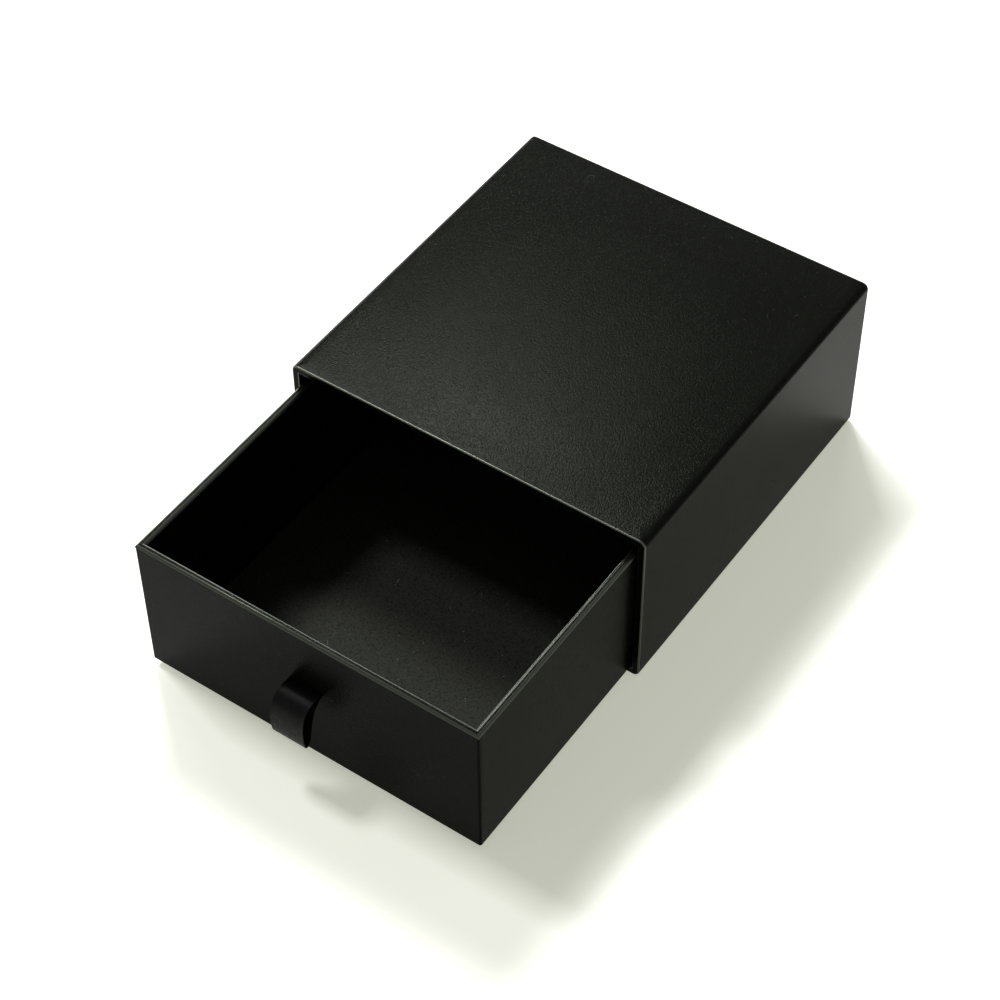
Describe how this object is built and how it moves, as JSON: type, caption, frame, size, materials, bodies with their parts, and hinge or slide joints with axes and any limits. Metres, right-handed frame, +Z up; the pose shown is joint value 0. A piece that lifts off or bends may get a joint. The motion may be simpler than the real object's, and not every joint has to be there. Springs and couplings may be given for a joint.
{
  "type": "sliding drawer gift box",
  "caption": "Square rigid-board gift box: a sleeve closed at the back and a drawer with a ribbon pull tab, wrapped in black textured paper and drawn part of the way out.",
  "frame": {"origin": "centre of the sleeve's underside", "axes": "+Z up; the sleeve's mouth faces -Y and the drawer opens along -Y; +X is to the right, seen from the front"},
  "size_m": [0.12, 0.2063, 0.058],
  "materials": {
    "greyboard": "matte",
    "stay_paper": "matte",
    "black_paper": "matte, fine leather grain",
    "ribbon": "satin weave"
  },
  "bodies": {
    "sleeve": {"sleeve_top_board": "greyboard", "sleeve_bottom_board": "greyboard", "sleeve_left_board": "greyboard", "sleeve_right_board": "greyboard", "sleeve_back_board": "greyboard", "sleeve_seam_stay": "stay_paper", "sleeve_back_stays": "stay_paper", "sleeve_wrap": "black_paper", "sleeve_liner": "black_paper", "sleeve_base_sheet": "black_paper", "sleeve_back_sheet": "black_paper"},
    "drawer": {"drawer_base_board": "greyboard", "drawer_front_board": "greyboard", "drawer_back_board": "greyboard", "drawer_left_board": "greyboard", "drawer_right_board": "greyboard", "drawer_corner_stays": "stay_paper", "drawer_wrap": "black_paper", "drawer_base_sheet": "black_paper", "drawer_floor_liner": "black_paper", "ribbon_tails": "ribbon", "ribbon_patch": "black_paper"},
    "ribbon_tab": {"pull_ribbon": "ribbon"}
  },
  "joints": [
    {"name": "drawer_slide", "type": "slide", "parent": "sleeve", "child": "drawer", "axis": [0, -1, 0], "range_m": [-0.074, 0.042]},
    {"name": "ribbon_hinge", "type": "hinge", "parent": "drawer", "child": "ribbon_tab", "pos_m": [0, -0.1355, 0.0309], "axis": [-1, 0, 0], "range_deg": [-16, 45]}
  ]
}
